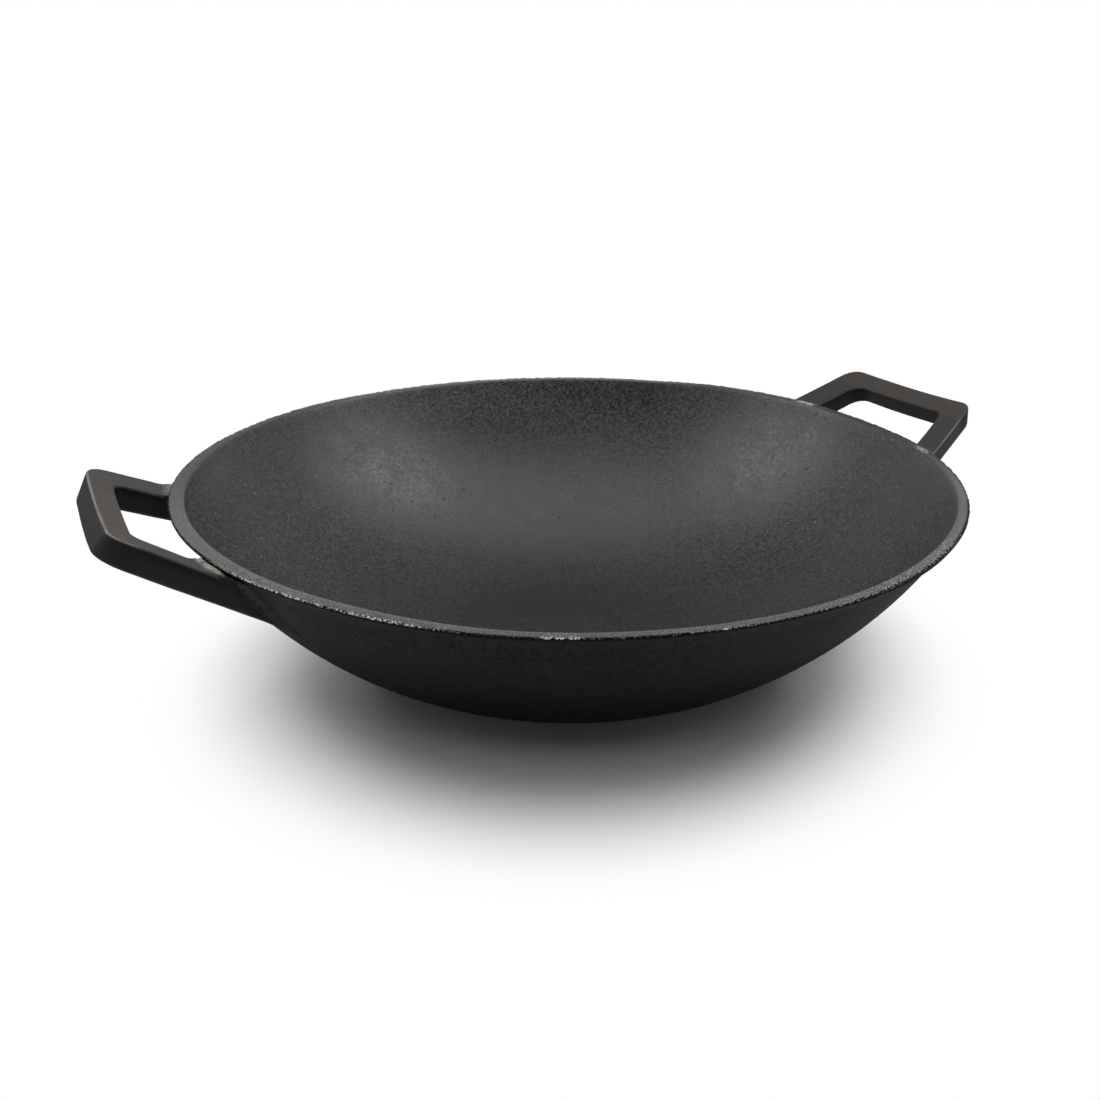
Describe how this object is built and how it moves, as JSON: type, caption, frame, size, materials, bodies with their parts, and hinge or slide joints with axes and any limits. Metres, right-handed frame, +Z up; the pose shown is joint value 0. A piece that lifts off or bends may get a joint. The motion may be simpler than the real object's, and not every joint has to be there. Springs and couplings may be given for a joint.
{
  "type": "cast iron wok",
  "caption": "Round cast iron wok: a deep curved bowl with a flat base and a thin flared lip, carried by a sloping cast loop handle on each side.",
  "frame": {"origin": "middle of the flat base, on the surface that the wok stands on", "axes": "+Z up out of the bowl, +X through the right handle, -X through the left handle, -Y towards the viewer's side of the picture"},
  "size_m": [0.4262, 0.36, 0.1108],
  "materials": {
    "seasoned_iron": "satin black seasoning over sand-cast grain",
    "handle_iron": "matt grey-brown seasoning, worn on the top faces"
  },
  "bodies": {
    "root": {"bowl": "seasoned_iron", "left_handle": "handle_iron", "right_handle": "handle_iron"}
  },
  "joints": []
}
